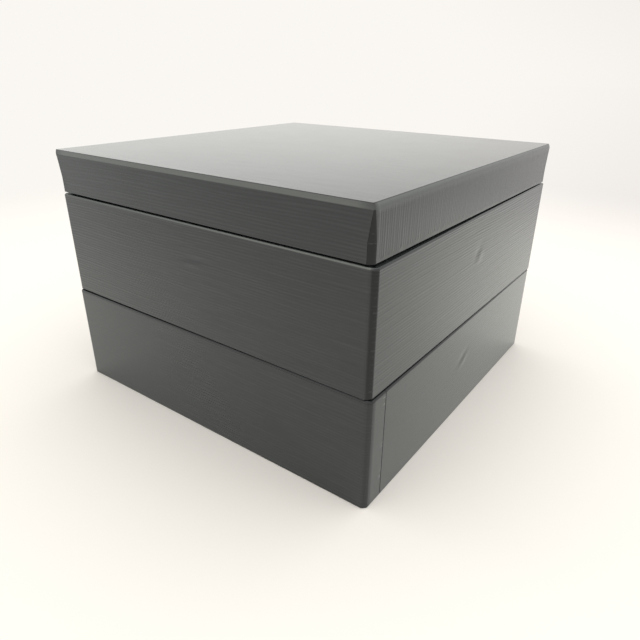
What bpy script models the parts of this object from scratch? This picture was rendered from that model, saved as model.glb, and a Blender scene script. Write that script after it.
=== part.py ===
"""A square two-tier paper jubako with a lid, built up from boards, tapes and papers.

Units are metres and +Z is up. The origin is under the middle of the box, on the surface it stands on.
+X is the right side and -Y is the front. Each tier is a folded outer frame with an inner tray set up
inside it, so that the tray's floor hangs above the foot. A collar in the tray stands above the rim as
the neck, which the lid or the next tier goes over. Every layer keeps a thin line of paste to the next.
"""

import math

import bmesh
import bpy
from mathutils import Matrix

# Overall sizes
BOX_WIDTH = 0.195            # left to right over the tiers' paper, the size called 6.5 sun
BOX_DEPTH = 0.195            # front to back over the tiers' paper
TIER_HEIGHT = 0.0543         # one tier from its foot to its rim
LID_HEIGHT = 0.0218          # the lid from its rim to its top
LID_INSET = 0.00025          # the lid's faces stand this much inside the tiers' faces
STACK_GAP = 0.0003           # daylight between a rim and what stands on it

# How the neck works
NECK_HEIGHT = 0.007          # the neck above its tier's rim
NECK_HEADROOM = 0.001        # free height over a neck inside the recess of the tier above

# Sheets and boards
FRAME_BOARD = 0.002          # grey board of a tier's outer wall
TRAY_BOARD = 0.001           # grey board of a tier's inner tray
NECK_BOARD = 0.001           # grey board of the collar
LID_BOARD = 0.002            # grey board of the lid
WRAP_PAPER = 0.0003          # embossed covering paper
LINING_PAPER = 0.00025       # plain black paper inside
STAY_TAPE = 0.0002           # gummed tape round a butted corner
PASTE = 0.00015              # line of paste between two layers

# Folds, seen from above and in section
LOWER_CORNER_RADIUS = 0.004  # the lower tier's upright corners, where its board is folded
UPPER_CORNER_RADIUS = 0.003  # the upper tier's upright corners
LID_CORNER_RADIUS = 0.0024   # the lid's upright corners, from its rim up to where they tighten
LID_POINT_RADIUS = 0.0006    # the same corners where they run into the lid's top
LID_CORNER_STRAIGHT = 0.0093  # height above the rim where the lid's corners begin to tighten
LID_EDGE_RADIUS = 0.0022     # the lid's top edges, where its walls fold down
RIM_RADIUS = 0.0008          # outer edge of a rim or a foot, where the paper turns over
INNER_RIM_RADIUS = 0.0005    # inner edge of the same turn
CREASE_RADIUS = 0.0003       # the tightest corner seen from above
INNER_BEND = 0.0001          # the tightest fold seen in section, on its inner side
CORNER_STEPS = 5             # facets in an upright corner
FOLD_STEPS = 3               # facets in a fold seen in section

# Paper laps and turn-ins
TIER_TURN_IN = 0.014         # the wrap's turn-in below a tier's rim
LID_TURN_IN = 0.012          # the wrap's turn-in above the lid's rim
LAP_WIDTH = 0.012            # from the corner to the end of the wrap's outer lap
LAP_RAMP = 0.0005            # the under end comes out from under the lap in this length
NECK_PAPER_DROP = 0.012      # the neck's paper outside, below the tier's rim
LINING_SKIRT = 0.009         # the lid lining's skirt, down over the turn-ins
FLAP_SHY_TOP = 0.0003        # the lid's front and back flaps stop this short of a corner at the top
FLAP_SHY_MIDDLE = 0.0018     # this short where the corner begins to tighten
FLAP_SHY_RIM = 0.0022        # and this short at the rim, because their ends are cut at a slant

# Butt joints and their tapes
JOINT_GAP = 0.0003           # between the butted ends of a board or a paper
TAPE_LEG = 0.011             # each leg of a corner tape
TAPE_SHY = 0.0015            # a tape ends this short of its board's edges

# How the stack happens to stand, each piece loose on the neck below it
UPPER_TURN = math.radians(-0.33)
UPPER_SHIFT = (0.00003, 0.00005)
LID_TURN = math.radians(-0.62)
LID_SHIFT = (-0.00076, 0.0004)

# Layers of a tier's wall, as depths in from the outer face of its paper
WRAP_STAND_OFF = max(WRAP_PAPER, STAY_TAPE) + 2 * PASTE
FRAME_OUT = WRAP_PAPER + WRAP_STAND_OFF
FRAME_IN = FRAME_OUT + FRAME_BOARD
RECESS_FACE = FRAME_IN + WRAP_STAND_OFF + WRAP_PAPER
TRAY_OUT = FRAME_IN + PASTE + STAY_TAPE + PASTE
TRAY_IN = TRAY_OUT + TRAY_BOARD
TURN_IN_FACE = TRAY_IN + WRAP_STAND_OFF + WRAP_PAPER
NECK_FACE = TURN_IN_FACE + PASTE
NECK_OUT = NECK_FACE + LINING_PAPER + PASTE
NECK_IN = NECK_OUT + NECK_BOARD
CAVITY_FACE = NECK_IN + PASTE + LINING_PAPER

# Heights in a tier, from its foot
BOARD_BOTTOM = WRAP_PAPER + WRAP_STAND_OFF
BOARD_TOP = TIER_HEIGHT - BOARD_BOTTOM
RECESS_DEPTH = NECK_HEIGHT + NECK_HEADROOM
TRAY_BOTTOM = RECESS_DEPTH + LINING_PAPER + PASTE
TRAY_FLOOR = TRAY_BOTTOM + TRAY_BOARD
NECK_TOP = TIER_HEIGHT + NECK_HEIGHT

# Layers of the lid, from its outer face and its rim
LID_BOARD_OUT = WRAP_PAPER + WRAP_STAND_OFF
LID_BOARD_IN = LID_BOARD_OUT + LID_BOARD
LID_TURN_IN_FACE = LID_BOARD_IN + PASTE + WRAP_PAPER
LID_LINING_OUT = LID_TURN_IN_FACE + PASTE
LID_BOARD_TOP = LID_HEIGHT - WRAP_PAPER - WRAP_STAND_OFF
LID_BOARD_BOTTOM = WRAP_PAPER + WRAP_STAND_OFF
LID_CEILING = LID_BOARD_TOP - LID_BOARD

CORNERS = ("back_right", "back_left", "front_left", "front_right")

EMBOSSED = ("embossed_black_paper", (0.045, 0.046, 0.043), 0.42)
PLAIN = ("plain_black_paper", (0.018, 0.018, 0.018), 0.7)
BOARD = ("grey_board", (0.36, 0.33, 0.29), 0.9)
TAPE = ("kraft_stay_tape", (0.42, 0.27, 0.15), 0.8)


class Plan:
    """A box's outline from above, with the same outline at any depth inside it.

    Corner k lies between side k and side k + 1, counted anticlockwise from the right side. The corners'
    radius goes from the first to the last of the radii between the two heights, where there are any.
    """

    def __init__(self, width, depth, radii, heights=()):
        self.half_width = width / 2
        self.half_depth = depth / 2
        self.radii = radii
        self.heights = heights

    def corner_radius(self, height):
        if not self.heights:
            return self.radii[0]
        share = (height - self.heights[0]) / (self.heights[1] - self.heights[0])
        share = min(max(share, 0), 1)
        return self.radii[0] + (self.radii[1] - self.radii[0]) * share

    def side_point(self, side, inset, along):
        """A point on a side, by its distance from the side's middle in the anticlockwise direction."""
        x = self.half_width - inset
        y = self.half_depth - inset
        return ((x, along), (-along, y), (-x, -along), (along, -y))[side % 4]

    def half_side(self, side):
        return self.half_depth if side % 2 == 0 else self.half_width

    def corner_point(self, corner, inset, height, turn):
        """A point on a rounded corner, turn going from 0 at its first side to 1 at its second."""
        radius = max(self.corner_radius(height) - inset, CREASE_RADIUS)
        sign_x = (1, -1, -1, 1)[corner % 4]
        sign_y = (1, 1, -1, -1)[corner % 4]
        angle = (corner % 4 + turn) * math.pi / 2
        x = sign_x * (self.half_width - inset - radius) + radius * math.cos(angle)
        y = sign_y * (self.half_depth - inset - radius) + radius * math.sin(angle)
        return (x, y)


def side_station(side, along, lift=0.0):
    """A place on a side for a sweep; lift is how far the sheet lies under the outermost layer."""
    return lift, lambda plan, inset, height: plan.side_point(side, inset, along)


def corner_stations(corner):
    """The places round one rounded corner."""
    stations = []
    for step in range(CORNER_STEPS + 1):

        def place(plan, inset, height, turn=step / CORNER_STEPS):
            return plan.corner_point(corner, inset, height, turn)

        stations.append((0.0, place))
    return stations


def ring_stations():
    """All four corners, for a sweep that closes on itself."""
    return [station for corner in range(4) for station in corner_stations(corner)]


def lapped_stations(plan, side):
    """Once round from under the lap on a side, near its first corner, to the lap's own end over it."""
    under = WRAP_PAPER + PASTE
    first = -plan.half_side(side)
    lap_end = first + LAP_WIDTH
    stations = [side_station(side, first + TURN_IN_FACE + LAP_RAMP, under)]
    stations.append(side_station(side, lap_end + PASTE, under))
    stations.append(side_station(side, lap_end + PASTE + LAP_RAMP))
    for corner in (side, side + 1, side + 2, side + 3):
        stations += corner_stations(corner)
    stations.append(side_station(side, lap_end))
    return stations


def folded_line(points, radii, depth, facing=1):
    """A line of right-angled folds in section, moved towards the board by depth, its folds rounded.

    Points are (inset, height). With facing 1 the board lies to the right of the line's direction.
    """
    normals = []
    for (inset_a, height_a), (inset_b, height_b) in zip(points, points[1:]):
        length = math.hypot(inset_b - inset_a, height_b - height_a)
        across = facing * (height_b - height_a) / length
        upward = -facing * (inset_b - inset_a) / length
        normals.append((across, upward))
    line = [(points[0][0] + depth * normals[0][0], points[0][1] + depth * normals[0][1])]
    for index, radius in enumerate(radii):
        before = normals[index]
        after = normals[index + 1]
        bend = max(radius - depth, INNER_BEND)
        reach = depth + bend
        centre_inset = points[index + 1][0] + reach * (before[0] + after[0])
        centre_height = points[index + 1][1] + reach * (before[1] + after[1])
        for step in range(FOLD_STEPS + 1):
            angle = step / FOLD_STEPS * math.pi / 2
            inset = before[0] * math.cos(angle) + after[0] * math.sin(angle)
            height = before[1] * math.cos(angle) + after[1] * math.sin(angle)
            line.append((centre_inset - bend * inset, centre_height - bend * height))
    line.append((points[-1][0] + depth * normals[-1][0], points[-1][1] + depth * normals[-1][1]))
    return line


def sheet_section(points, radii, thickness, facing=1):
    """The closed section of a folded sheet, as a function of how far it lies under the outer layer."""

    def section(lift):
        outside = folded_line(points, radii, lift, facing)
        inside = folded_line(points, radii, lift + thickness, facing)
        return outside + inside[::-1]

    return section


def wall_section(plan, inset, thickness, bottom, top):
    """The section of a plain upright strip."""

    def section(lift):
        outer = inset + lift
        inner = outer + thickness
        return with_bends(plan, [(outer, bottom), (outer, top), (inner, top), (inner, bottom)])

    return section


def make_mesh(name, mesh_maker):
    """A mesh from what a maker adds to a bmesh, with its faces turned outwards."""
    mesh = bpy.data.meshes.new(name)
    bm = bmesh.new()
    mesh_maker(bm)
    bmesh.ops.recalc_face_normals(bm, faces=bm.faces)
    if bm.calc_volume(signed=True) < 0:
        bmesh.ops.reverse_faces(bm, faces=bm.faces)
    bm.to_mesh(mesh)
    bm.free()
    return mesh


def make_object(name, body, material, mesh_maker):
    """A named object under its body's empty, with its own material, from a bmesh."""
    mesh = make_mesh(name, mesh_maker)
    mesh.shade_smooth()
    mesh.set_sharp_from_angle(angle=math.radians(35))
    return link_object(name, body, material, mesh)


def link_object(name, body, material, mesh):
    """An object for a mesh, which may be shared, under its body's empty."""
    piece = bpy.data.objects.new(name, mesh)
    bpy.context.scene.collection.objects.link(piece)
    piece.parent = body
    if not mesh.materials:
        mesh.materials.append(make_material(*material))
    return piece


def make_material(name, colour, roughness):
    """A plain Principled material, made once and then found again by its name."""
    material = bpy.data.materials.get(name)
    if material is None:
        material = bpy.data.materials.new(name)
        material.use_nodes = True
        shader = material.node_tree.nodes["Principled BSDF"]
        shader.inputs["Base Color"].default_value = (*colour, 1)
        shader.inputs["Roughness"].default_value = roughness
        shader.inputs["Metallic"].default_value = 0
    return material


def fill_grid(bm, rows, close_rows):
    """Faces between rows of vertices, each row a closed loop; the first and last rows are capped."""
    count = len(rows[0])
    pairs = list(zip(rows, rows[1:]))
    if close_rows:
        pairs.append((rows[-1], rows[0]))
    for row, next_row in pairs:
        for index in range(count):
            after = (index + 1) % count
            bm.faces.new((row[index], row[after], next_row[after], next_row[index]))
    if not close_rows:
        bm.faces.new(rows[0])
        bm.faces.new(rows[-1])


def sweep(plan, section, stations, closed):
    """A section carried round the plan, once right round or as a strip with two ends."""

    def mesh_maker(bm):
        rows = []
        for lift, place in stations:
            row = []
            for inset, height in section(lift):
                x, y = place(plan, inset, height)
                row.append(bm.verts.new((x, y, height)))
            rows.append(row)
        fill_grid(bm, rows, closed)

    return mesh_maker


def stacked_rings(plan, line):
    """A body from rings round the whole plan, one for each (inset, height), its two ends closed."""

    def mesh_maker(bm):
        rows = []
        for inset, height in line:
            row = []
            for _, place in ring_stations():
                x, y = place(plan, inset, height)
                row.append(bm.verts.new((x, y, height)))
            rows.append(row)
        fill_grid(bm, rows, close_rows=False)

    return mesh_maker


def shell(plan, points, radii, thickness, facing):
    """A tray or a cover: a sheet folded down or up from a flat middle, and closed at its corners.

    The points run from the middle outwards, in section.
    """
    outside = folded_line(points, radii, 0.0, facing)
    inside = folded_line(points, radii, thickness, facing)
    return stacked_rings(plan, with_bends(plan, outside + inside[::-1]))


def with_bends(plan, line):
    """The same line with a point more wherever it passes a height at which the plan changes."""
    whole = [line[0]]
    for (inset_a, height_a), (inset_b, height_b) in zip(line, line[1:]):
        low = min(height_a, height_b)
        high = max(height_a, height_b)
        passed = [level for level in plan.heights if low < level < high]
        for level in sorted(passed, reverse=height_b < height_a):
            share = (level - height_a) / (height_b - height_a)
            whole.append((inset_a + (inset_b - inset_a) * share, level))
        whole.append((inset_b, height_b))
    return whole


def sheet(plan, inset, bottom, thickness):
    """A flat sheet of paper with its corners rounded like the box."""
    return stacked_rings(plan, [(inset, bottom), (inset, bottom + thickness)])


def make_cutter(name, body, mesh_maker, target):
    """A hidden cutter, and the Boolean that takes it out of its target."""
    cutter = bpy.data.objects.new(name, make_mesh(name, mesh_maker))
    bpy.context.scene.collection.objects.link(cutter)
    cutter.parent = body
    cutter.hide_render = True
    cutter.display_type = "WIRE"
    cut = target.modifiers.new("cut", "BOOLEAN")
    cut.operation = "DIFFERENCE"
    cut.solver = "EXACT"
    cut.object = cutter


def cut_joints(target, plan, corners, inset, thickness, bottom, top):
    """Cuts a thin upright slit through corners of a board or paper, where its ends only butt."""

    def mesh_maker(bm):
        height = top - bottom
        reach = 4 * thickness
        for corner in corners:
            x, y = plan.corner_point(corner, inset + thickness / 2, bottom, 0.5)
            place = Matrix.Translation((x, y, bottom + height / 2))
            turn = Matrix.Rotation((corner + 0.5) * math.pi / 2, 4, "Z")
            size = Matrix.Diagonal((reach, JOINT_GAP, height, 1))
            bmesh.ops.create_cube(bm, size=1, matrix=place @ turn @ size)

    make_cutter(target.name + "_joints", target.parent, mesh_maker, target)


def flap_end_pockets(plan):
    """Four thin wedges off the lid's front and back, where their flaps' slanting ends show the tabs."""
    clear = LID_EDGE_RADIUS
    top = LID_HEIGHT - LID_EDGE_RADIUS
    outline = (
        (-FLAP_SHY_TOP, top),
        (-FLAP_SHY_MIDDLE, LID_CORNER_STRAIGHT),
        (-FLAP_SHY_RIM, -clear),
        (clear, -clear),
        (clear, top),
    )

    def mesh_maker(bm):
        for sign_x in (1, -1):
            for sign_y in (1, -1):
                near = sign_y * (plan.half_depth + clear)
                verts = [bm.verts.new((sign_x * (plan.half_width + x), near, z)) for x, z in outline]
                moved = bmesh.ops.extrude_face_region(bm, geom=[bm.faces.new(verts)])["geom"]
                far = [item for item in moved if isinstance(item, bmesh.types.BMVert)]
                step = -sign_y * (clear + WRAP_PAPER / 2)
                bmesh.ops.translate(bm, verts=far, vec=(0, step, 0))

    return mesh_maker


def make_corner_tape(plan, inset, bottom, top):
    """A tape folded round one corner, drawn with the box's sharp corner at the origin."""
    corner = Plan(0, 0, plan.radii, plan.heights)
    stations = [side_station(0, -TAPE_LEG)]
    stations += corner_stations(0)
    stations.append(side_station(1, TAPE_LEG))
    return sweep(corner, wall_section(corner, inset, STAY_TAPE, bottom, top), stations, closed=False)


def place_at_corner(piece, plan, corner):
    """Moves a corner tape to one of the box's corners and turns it to face that corner."""
    piece.location.x = (1, -1, -1, 1)[corner] * plan.half_width
    piece.location.y = (1, 1, -1, -1)[corner] * plan.half_depth
    piece.rotation_euler.z = corner * math.pi / 2


def make_corner_tapes(prefix, body, plan, mesh_maker):
    """The same tape at all four corners, on one shared mesh."""
    first = make_object(prefix + "_" + CORNERS[0], body, TAPE, mesh_maker)
    place_at_corner(first, plan, 0)
    for corner in (1, 2, 3):
        copy = link_object(prefix + "_" + CORNERS[corner], body, TAPE, first.data)
        place_at_corner(copy, plan, corner)


def make_body(name, shift, height, turn):
    """The empty that a tier or the lid hangs on, standing on its lifting axis."""
    body = bpy.data.objects.new(name, None)
    bpy.context.scene.collection.objects.link(body)
    body.location = (*shift, height)
    body.rotation_euler.z = turn
    return body


def make_frame(tier, body, plan, joint_corner):
    """A tier's outer wall: one strip folded at three corners, butted and taped at the fourth."""
    section = wall_section(plan, FRAME_OUT, FRAME_BOARD, BOARD_BOTTOM, BOARD_TOP)
    mesh_maker = sweep(plan, section, ring_stations(), closed=True)
    board = make_object(tier + "_frame_board", body, BOARD, mesh_maker)
    cut_joints(board, plan, [joint_corner], FRAME_OUT, FRAME_BOARD, 0, TIER_HEIGHT)
    tape_inset = FRAME_OUT - PASTE - STAY_TAPE
    tape = make_corner_tape(plan, tape_inset, BOARD_BOTTOM + TAPE_SHY, BOARD_TOP - TAPE_SHY)
    piece = make_object(tier + "_frame_tape", body, TAPE, tape)
    place_at_corner(piece, plan, joint_corner)


def make_tray(tier, body, plan):
    """A tier's inner tray: a floor with four walls folded up, butted and taped at the corners."""
    middle = TRAY_OUT + 4 * TRAY_BOARD
    points = [(middle, TRAY_BOTTOM), (TRAY_OUT, TRAY_BOTTOM), (TRAY_OUT, BOARD_TOP)]
    mesh_maker = shell(plan, points, [TRAY_BOARD], TRAY_BOARD, facing=1)
    board = make_object(tier + "_tray_board", body, BOARD, mesh_maker)
    cut_joints(board, plan, range(4), TRAY_OUT, TRAY_BOARD, TRAY_FLOOR, TIER_HEIGHT)
    tape_inset = TRAY_OUT - PASTE - STAY_TAPE
    tape = make_corner_tape(plan, tape_inset, TRAY_BOTTOM + TAPE_SHY, BOARD_TOP - TAPE_SHY)
    make_corner_tapes(tier + "_tray_stay", body, plan, tape)


def make_tier_wrap(tier, body, plan, lap_side):
    """A tier's embossed strip: up inside the recess, round the foot, up the wall, over and in."""
    points = [
        (RECESS_FACE, RECESS_DEPTH - PASTE),
        (RECESS_FACE, 0),
        (0, 0),
        (0, TIER_HEIGHT),
        (TURN_IN_FACE, TIER_HEIGHT),
        (TURN_IN_FACE, TIER_HEIGHT - TIER_TURN_IN),
    ]
    radii = [INNER_RIM_RADIUS, RIM_RADIUS, RIM_RADIUS, INNER_RIM_RADIUS]
    section = sheet_section(points, radii, WRAP_PAPER)
    mesh_maker = sweep(plan, section, lapped_stations(plan, lap_side), closed=False)
    make_object(tier + "_wrap", body, EMBOSSED, mesh_maker)


def make_neck(tier, body, plan, joint_corner):
    """The collar in the tray, its tape, and the black paper over both its sides."""
    board_bottom = TRAY_FLOOR + PASTE
    board_top = NECK_TOP - LINING_PAPER - PASTE
    section = wall_section(plan, NECK_OUT, NECK_BOARD, board_bottom, board_top)
    mesh_maker = sweep(plan, section, ring_stations(), closed=True)
    board = make_object(tier + "_neck_board", body, BOARD, mesh_maker)
    cut_joints(board, plan, [joint_corner], NECK_OUT, NECK_BOARD, 0, NECK_TOP)
    paper_bottom = TIER_HEIGHT - NECK_PAPER_DROP
    tape_inset = NECK_OUT - PASTE - STAY_TAPE
    tape_top = min(paper_bottom, TIER_HEIGHT - TIER_TURN_IN) - TAPE_SHY
    tape = make_corner_tape(plan, tape_inset, board_bottom + TAPE_SHY, tape_top)
    piece = make_object(tier + "_neck_tape", body, TAPE, tape)
    place_at_corner(piece, plan, joint_corner)
    points = [
        (NECK_FACE, paper_bottom),
        (NECK_FACE, NECK_TOP),
        (CAVITY_FACE, NECK_TOP),
        (CAVITY_FACE, board_bottom),
    ]
    fold = LINING_PAPER + PASTE
    section = sheet_section(points, [fold, fold], LINING_PAPER)
    mesh_maker = sweep(plan, section, ring_stations(), closed=True)
    paper = make_object(tier + "_neck_paper", body, PLAIN, mesh_maker)
    cut_joints(paper, plan, [joint_corner + 2], NECK_FACE, CAVITY_FACE - NECK_FACE, 0, NECK_TOP + fold)


def make_tier(tier, body, corner_radius, lap_side, frame_joint, neck_joint):
    """One whole tier, in its own frame, standing on its foot."""
    plan = Plan(BOX_WIDTH, BOX_DEPTH, (corner_radius,))
    make_frame(tier, body, plan, frame_joint)
    make_tray(tier, body, plan)
    make_tier_wrap(tier, body, plan, lap_side)
    make_neck(tier, body, plan, neck_joint)
    floor = sheet(plan, CAVITY_FACE + PASTE, TRAY_FLOOR + PASTE, LINING_PAPER)
    make_object(tier + "_floor_paper", body, PLAIN, floor)
    base = sheet(plan, TRAY_OUT + PASTE, RECESS_DEPTH, LINING_PAPER)
    make_object(tier + "_base_paper", body, PLAIN, base)


def make_lid(body):
    """The lid, in its own frame, standing on its rim."""
    width = BOX_WIDTH - 2 * LID_INSET
    depth = BOX_DEPTH - 2 * LID_INSET
    heights = (LID_CORNER_STRAIGHT, LID_HEIGHT - LID_EDGE_RADIUS)
    plan = Plan(width, depth, (LID_CORNER_RADIUS, LID_POINT_RADIUS), heights)
    middle = LID_LINING_OUT + 2 * LID_EDGE_RADIUS
    edge = LID_EDGE_RADIUS - WRAP_PAPER - WRAP_STAND_OFF

    points = [(middle, LID_BOARD_TOP), (LID_BOARD_OUT, LID_BOARD_TOP), (LID_BOARD_OUT, LID_BOARD_BOTTOM)]
    board = make_object("lid_board", body, BOARD, shell(plan, points, [edge], LID_BOARD, facing=-1))
    cut_joints(board, plan, range(4), LID_BOARD_OUT, LID_BOARD, 0, LID_CEILING)

    tape_bottom = LID_BOARD_BOTTOM + TAPE_SHY
    tape_top = LID_BOARD_TOP - edge - TAPE_SHY
    tape = make_corner_tape(plan, LID_BOARD_OUT - PASTE - STAY_TAPE, tape_bottom, tape_top)
    make_corner_tapes("lid_stay", body, plan, tape)

    points = [
        (middle, LID_HEIGHT),
        (0, LID_HEIGHT),
        (0, 0),
        (LID_TURN_IN_FACE, 0),
        (LID_TURN_IN_FACE, LID_TURN_IN),
    ]
    radii = [LID_EDGE_RADIUS, RIM_RADIUS, INNER_RIM_RADIUS]
    wrap = make_object("lid_wrap", body, EMBOSSED, shell(plan, points, radii, WRAP_PAPER, facing=-1))
    make_cutter("lid_flap_pockets", body, flap_end_pockets(plan), wrap)

    lining_top = LID_CEILING - PASTE
    points = [
        (middle, lining_top),
        (LID_LINING_OUT, lining_top),
        (LID_LINING_OUT, lining_top - LINING_SKIRT),
    ]
    fold = LINING_PAPER + PASTE
    make_object("lid_lining", body, PLAIN, shell(plan, points, [fold], LINING_PAPER, facing=-1))


def clear_scene():
    for item in list(bpy.data.objects):
        bpy.data.objects.remove(item, do_unlink=True)


def main():
    clear_scene()
    level = TIER_HEIGHT + STACK_GAP
    lower = make_body("lower_tier", (0, 0), 0, 0)
    upper = make_body("upper_tier", UPPER_SHIFT, level, UPPER_TURN)
    lid = make_body("lid", LID_SHIFT, 2 * level, LID_TURN)
    make_tier("lower", lower, LOWER_CORNER_RADIUS, lap_side=0, frame_joint=1, neck_joint=0)
    make_tier("upper", upper, UPPER_CORNER_RADIUS, lap_side=2, frame_joint=2, neck_joint=0)
    make_lid(lid)


main()
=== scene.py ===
# Paper jubako: two tiers and a lid in embossed black paper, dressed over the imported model.
import math

import bmesh
import bpy
import numpy as np
from mathutils import Matrix, Vector


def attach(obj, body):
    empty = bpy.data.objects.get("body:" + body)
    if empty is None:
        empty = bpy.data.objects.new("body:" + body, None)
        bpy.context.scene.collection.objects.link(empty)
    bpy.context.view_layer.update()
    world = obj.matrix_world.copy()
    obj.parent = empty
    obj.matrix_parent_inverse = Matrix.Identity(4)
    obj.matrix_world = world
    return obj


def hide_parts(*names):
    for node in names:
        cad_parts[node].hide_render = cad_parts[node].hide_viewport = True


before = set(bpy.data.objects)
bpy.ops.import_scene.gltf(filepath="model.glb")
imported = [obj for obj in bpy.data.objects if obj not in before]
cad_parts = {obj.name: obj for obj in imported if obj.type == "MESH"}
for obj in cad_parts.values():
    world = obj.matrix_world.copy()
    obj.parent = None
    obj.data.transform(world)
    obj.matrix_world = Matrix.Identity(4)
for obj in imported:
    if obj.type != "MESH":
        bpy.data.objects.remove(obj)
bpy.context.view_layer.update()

# Lengths are in millimetres unless a note says otherwise, heights are from a body's own foot or rim.
millimetre = 0.001
metre = 1000.0              # a texture's scale is the number of its repeats in this length
tightestFold = 0.1          # the inner radius of the sharpest fold in section
tightestCorner = 0.3        # the radius of the sharpest corner seen from above
mergeReach = 0.0005         # points nearer to each other than this become one
sameStop = 0.000001         # stops of two rows nearer to each other than this are the same
hiddenFoldSteps = 3         # pieces of a fold on a sheet's hidden face
sharpBend = 38.0            # an edge bent by more degrees than this stays sharp

# Where each body stands, turned a little (degrees) on the neck below it
stackPlaces = {
    "lower_tier": {"shift": (0.0, 0.0), "level": 0.0, "turn": 0.0},
    "upper_tier": {"shift": (0.03, 0.05), "level": 54.6, "turn": -0.33},
    "lid": {"shift": (-0.76, 0.40), "level": 109.2, "turn": -0.62},
}


def bodyMatrix(body):
    place = stackPlaces[body]
    shift = Vector((*place["shift"], place["level"])) * millimetre
    turn = Matrix.Rotation(math.radians(place["turn"]), 4, "Z")
    return Matrix.Translation(shift) @ turn @ Matrix.Scale(millimetre, 4)


def newObject(name, data):
    thing = bpy.data.objects.new(name, data)
    bpy.context.scene.collection.objects.link(thing)
    return thing


# Inputs go by number in a list, or by name or number in a dictionary. Each is a plain value, a socket
# to link from, or None to pass it over.
def setInputs(tree, node, inputs):
    for key, value in inputs.items() if isinstance(inputs, dict) else enumerate(inputs):
        if isinstance(value, bpy.types.NodeSocket):
            tree.links.new(value, node.inputs[key])
        elif value is not None:
            node.inputs[key].default_value = value


# Adds a node and gives back its outputs
def addNode(tree, kind, settings=None, inputs=()):
    node = tree.nodes.new(kind)
    for name, value in (settings or {}).items():
        setattr(node, name, value)
    setInputs(tree, node, inputs)
    return node.outputs


# Kinds and settings that come again and again
mathNode, mixNode = "ShaderNodeMath", "ShaderNodeMix"
rangeNode, noiseNode = "ShaderNodeMapRange", "ShaderNodeTexNoise"
multiply, subtract, maximum = ({"operation": name} for name in ("MULTIPLY", "SUBTRACT", "MAXIMUM"))
numbers, colours = {"data_type": "FLOAT"}, {"data_type": "RGBA"}
smooth = {"interpolation_type": "SMOOTHSTEP"}


# From an sRGB colour code to linear
def fromHex(code):
    channels = []
    for start in (1, 3, 5):
        part = int(code[start:start + 2], 16) / 255
        channels.append(part / 12.92 if part <= 0.04045 else ((part + 0.055) / 1.055) ** 2.4)
    return (*channels, 1.0)


def clamped(value):
    return min(max(value, 0.0), 1.0)


def smoothStep(value):
    value = clamped(value)
    return value * value * (3 - 2 * value)


def between(start, end, share):
    return start + (end - start) * share


# The line that a folded sheet follows in section. Points are (inset, height), and the sheet's board
# lies to the right of the line where facing is 1. Every straight run is cut in its own number of pieces
# and every fold in foldSteps.
def sectionRows(points, radii, depth, facing, foldSteps, runPieces):
    normals = []
    for (insetA, heightA), (insetB, heightB) in zip(points, points[1:]):
        length = math.hypot(insetB - insetA, heightB - heightA)
        normals.append((facing * (heightB - heightA) / length, -facing * (insetB - insetA) / length))

    def moved(place, way, distance):
        return place[0] + distance * way[0], place[1] + distance * way[1]

    arcs = []
    for index, radius in enumerate(radii):
        before, after = normals[index], normals[index + 1]
        bend = max(radius - depth, tightestFold)
        centre = moved(points[index + 1], (before[0] + after[0], before[1] + after[1]), depth + bend)
        arc = []
        for step in range(foldSteps + 1):
            angle = step / foldSteps * math.pi / 2
            inset = before[0] * math.cos(angle) + after[0] * math.sin(angle)
            height = before[1] * math.cos(angle) + after[1] * math.sin(angle)
            arc.append(moved(centre, (inset, height), -bend))
        arcs.append(arc)
    start, end = moved(points[0], normals[0], depth), moved(points[-1], normals[-1], depth)
    rows = []

    def addRow(place, run, fold):
        rows.append({"inset": place[0], "height": place[1], "run": run, "fold": fold})

    for run, pieces in enumerate(runPieces):
        runStart = arcs[run - 1][-1] if run else start
        runEnd = arcs[run][0] if run < len(arcs) else end
        for piece in range(pieces):
            addRow([between(a, b, piece / pieces) for a, b in zip(runStart, runEnd)], run, None)
        if run < len(arcs):
            for place in arcs[run][:-1]:
                addRow(place, None, run)
    addRow(end, len(runPieces) - 1, None)
    return rows


# How far along the section each row lies
def rowDistances(rows):
    distances = [0.0]
    for before, after in zip(rows, rows[1:]):
        step = math.hypot(after["inset"] - before["inset"], after["height"] - before["height"])
        distances.append(distances[-1] + step)
    return distances


# Faces between two rows of points that run side by side but needn't have the same stops
def zipRows(bm, rowA, stopsA, rowB, stopsB):
    a, b = 0, 0
    while a < len(rowA) - 1 or b < len(rowB) - 1:
        nextA = stopsA[a + 1] if a < len(rowA) - 1 else math.inf
        nextB = stopsB[b + 1] if b < len(rowB) - 1 else math.inf
        if abs(nextA - nextB) < sameStop:
            bm.faces.new((rowA[a], rowA[a + 1], rowB[b + 1], rowB[b]))
            a, b = a + 1, b + 1
        elif nextA < nextB:
            bm.faces.new((rowA[a], rowA[a + 1], rowB[b]))
            a += 1
        else:
            bm.faces.new((rowA[a], rowB[b + 1], rowB[b]))
            b += 1


# Faces between rows of points that have the same stops
def gridFaces(bm, rows):
    for row, nextRow in zip(rows, rows[1:]):
        for index in range(len(row) - 1):
            bm.faces.new((row[index], row[index + 1], nextRow[index + 1], nextRow[index]))


# Even stops from low to high, about a step apart
def spread(low, high, step):
    count = max(round((high - low) / step), 1)
    return [low + (high - low) * index / count for index in range(count + 1)]


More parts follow.
